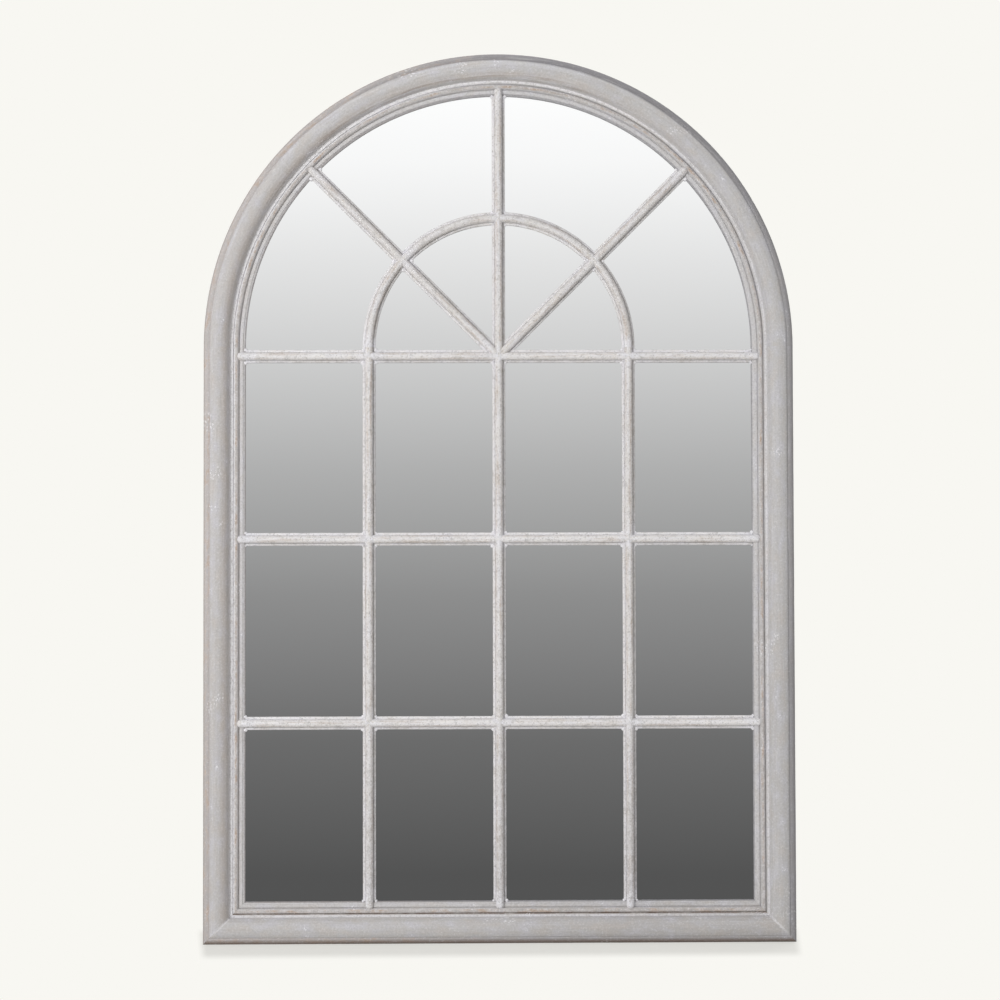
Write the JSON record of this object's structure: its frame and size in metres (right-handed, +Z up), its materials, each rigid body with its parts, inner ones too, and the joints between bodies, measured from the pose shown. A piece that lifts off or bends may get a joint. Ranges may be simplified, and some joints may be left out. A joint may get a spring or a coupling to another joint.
{
  "type": "arched window mirror",
  "caption": "Tall wall mirror with a half-round head: a moulded, distressed painted frame round one sheet of glass, divided like a window by raised glazing bars and an inner arch.",
  "frame": {"origin": "on the plane of the foot, in the middle of the width and of the whole depth", "axes": "+Z up, +X to the viewer's right, +Y from the room towards the wall; the glass faces -Y"},
  "size_m": [1, 0.044, 1.507],
  "materials": {
    "frame_paint": "distressed chalk paint, matt, rubbed through on the beads and edges",
    "bar_paint": "distressed chalk paint, matt",
    "mirror_glass": "silvered",
    "backing_board": "plain fibreboard, matt",
    "foam_pads": "closed-cell foam",
    "dowel_wood": "fluted beech",
    "fastener_steel": "zinc plated",
    "hanger_steel": "nickel plated",
    "bumper_rubber": "soft matt"
  },
  "bodies": {
    "frame": {"arch_segment_left_lower": "frame_paint", "arch_segment_left_upper": "frame_paint", "arch_segment_right_lower": "frame_paint", "arch_segment_right_upper": "frame_paint", "backing_board": "backing_board", "board_screws": "fastener_steel", "bottom_rail": "frame_paint", "centre_glazing_bar": "bar_paint", "cross_bar_row1_pane1": "bar_paint", "cross_bar_row1_pane2": "bar_paint", "cross_bar_row1_pane3": "bar_paint", "cross_bar_row1_pane4": "bar_paint", "cross_bar_row2_pane1": "bar_paint", "cross_bar_row2_pane2": "bar_paint", "cross_bar_row2_pane3": "bar_paint", "cross_bar_row2_pane4": "bar_paint", "cross_bar_row3_pane1": "bar_paint", "cross_bar_row3_pane2": "bar_paint", "cross_bar_row3_pane3": "bar_paint", "cross_bar_row3_pane4": "bar_paint", "diagonal_bar_left": "bar_paint", "diagonal_bar_right": "bar_paint", "frame_dowels": "dowel_wood", "glass_pads": "foam_pads", "hanger_screws": "fastener_steel", "hanger_strap_left": "hanger_steel", "hanger_strap_right": "hanger_steel", "inner_arch_left_lower": "bar_paint", "inner_arch_left_upper": "bar_paint", "inner_arch_right_lower": "bar_paint", "inner_arch_right_upper": "bar_paint", "left_glazing_bar": "bar_paint", "left_stile": "frame_paint", "mirror_glass": "mirror_glass", "mitre_wedges": "fastener_steel", "right_glazing_bar": "bar_paint", "right_stile": "frame_paint", "wall_bumper_left": "bumper_rubber", "wall_bumper_right": "bumper_rubber"},
    "ring_left": {"hanger_ring_left": "hanger_steel"},
    "ring_right": {"hanger_ring_right": "hanger_steel"}
  },
  "joints": [
    {"name": "ring_left_swing", "type": "hinge", "parent": "frame", "child": "ring_left", "pos_m": [-0.476, 0.01878, 0.877], "axis": [1, 0, 0], "range_deg": [0, 176]},
    {"name": "ring_right_swing", "type": "hinge", "parent": "frame", "child": "ring_right", "pos_m": [0.476, 0.01878, 0.877], "axis": [1, 0, 0], "range_deg": [0, 176]}
  ]
}
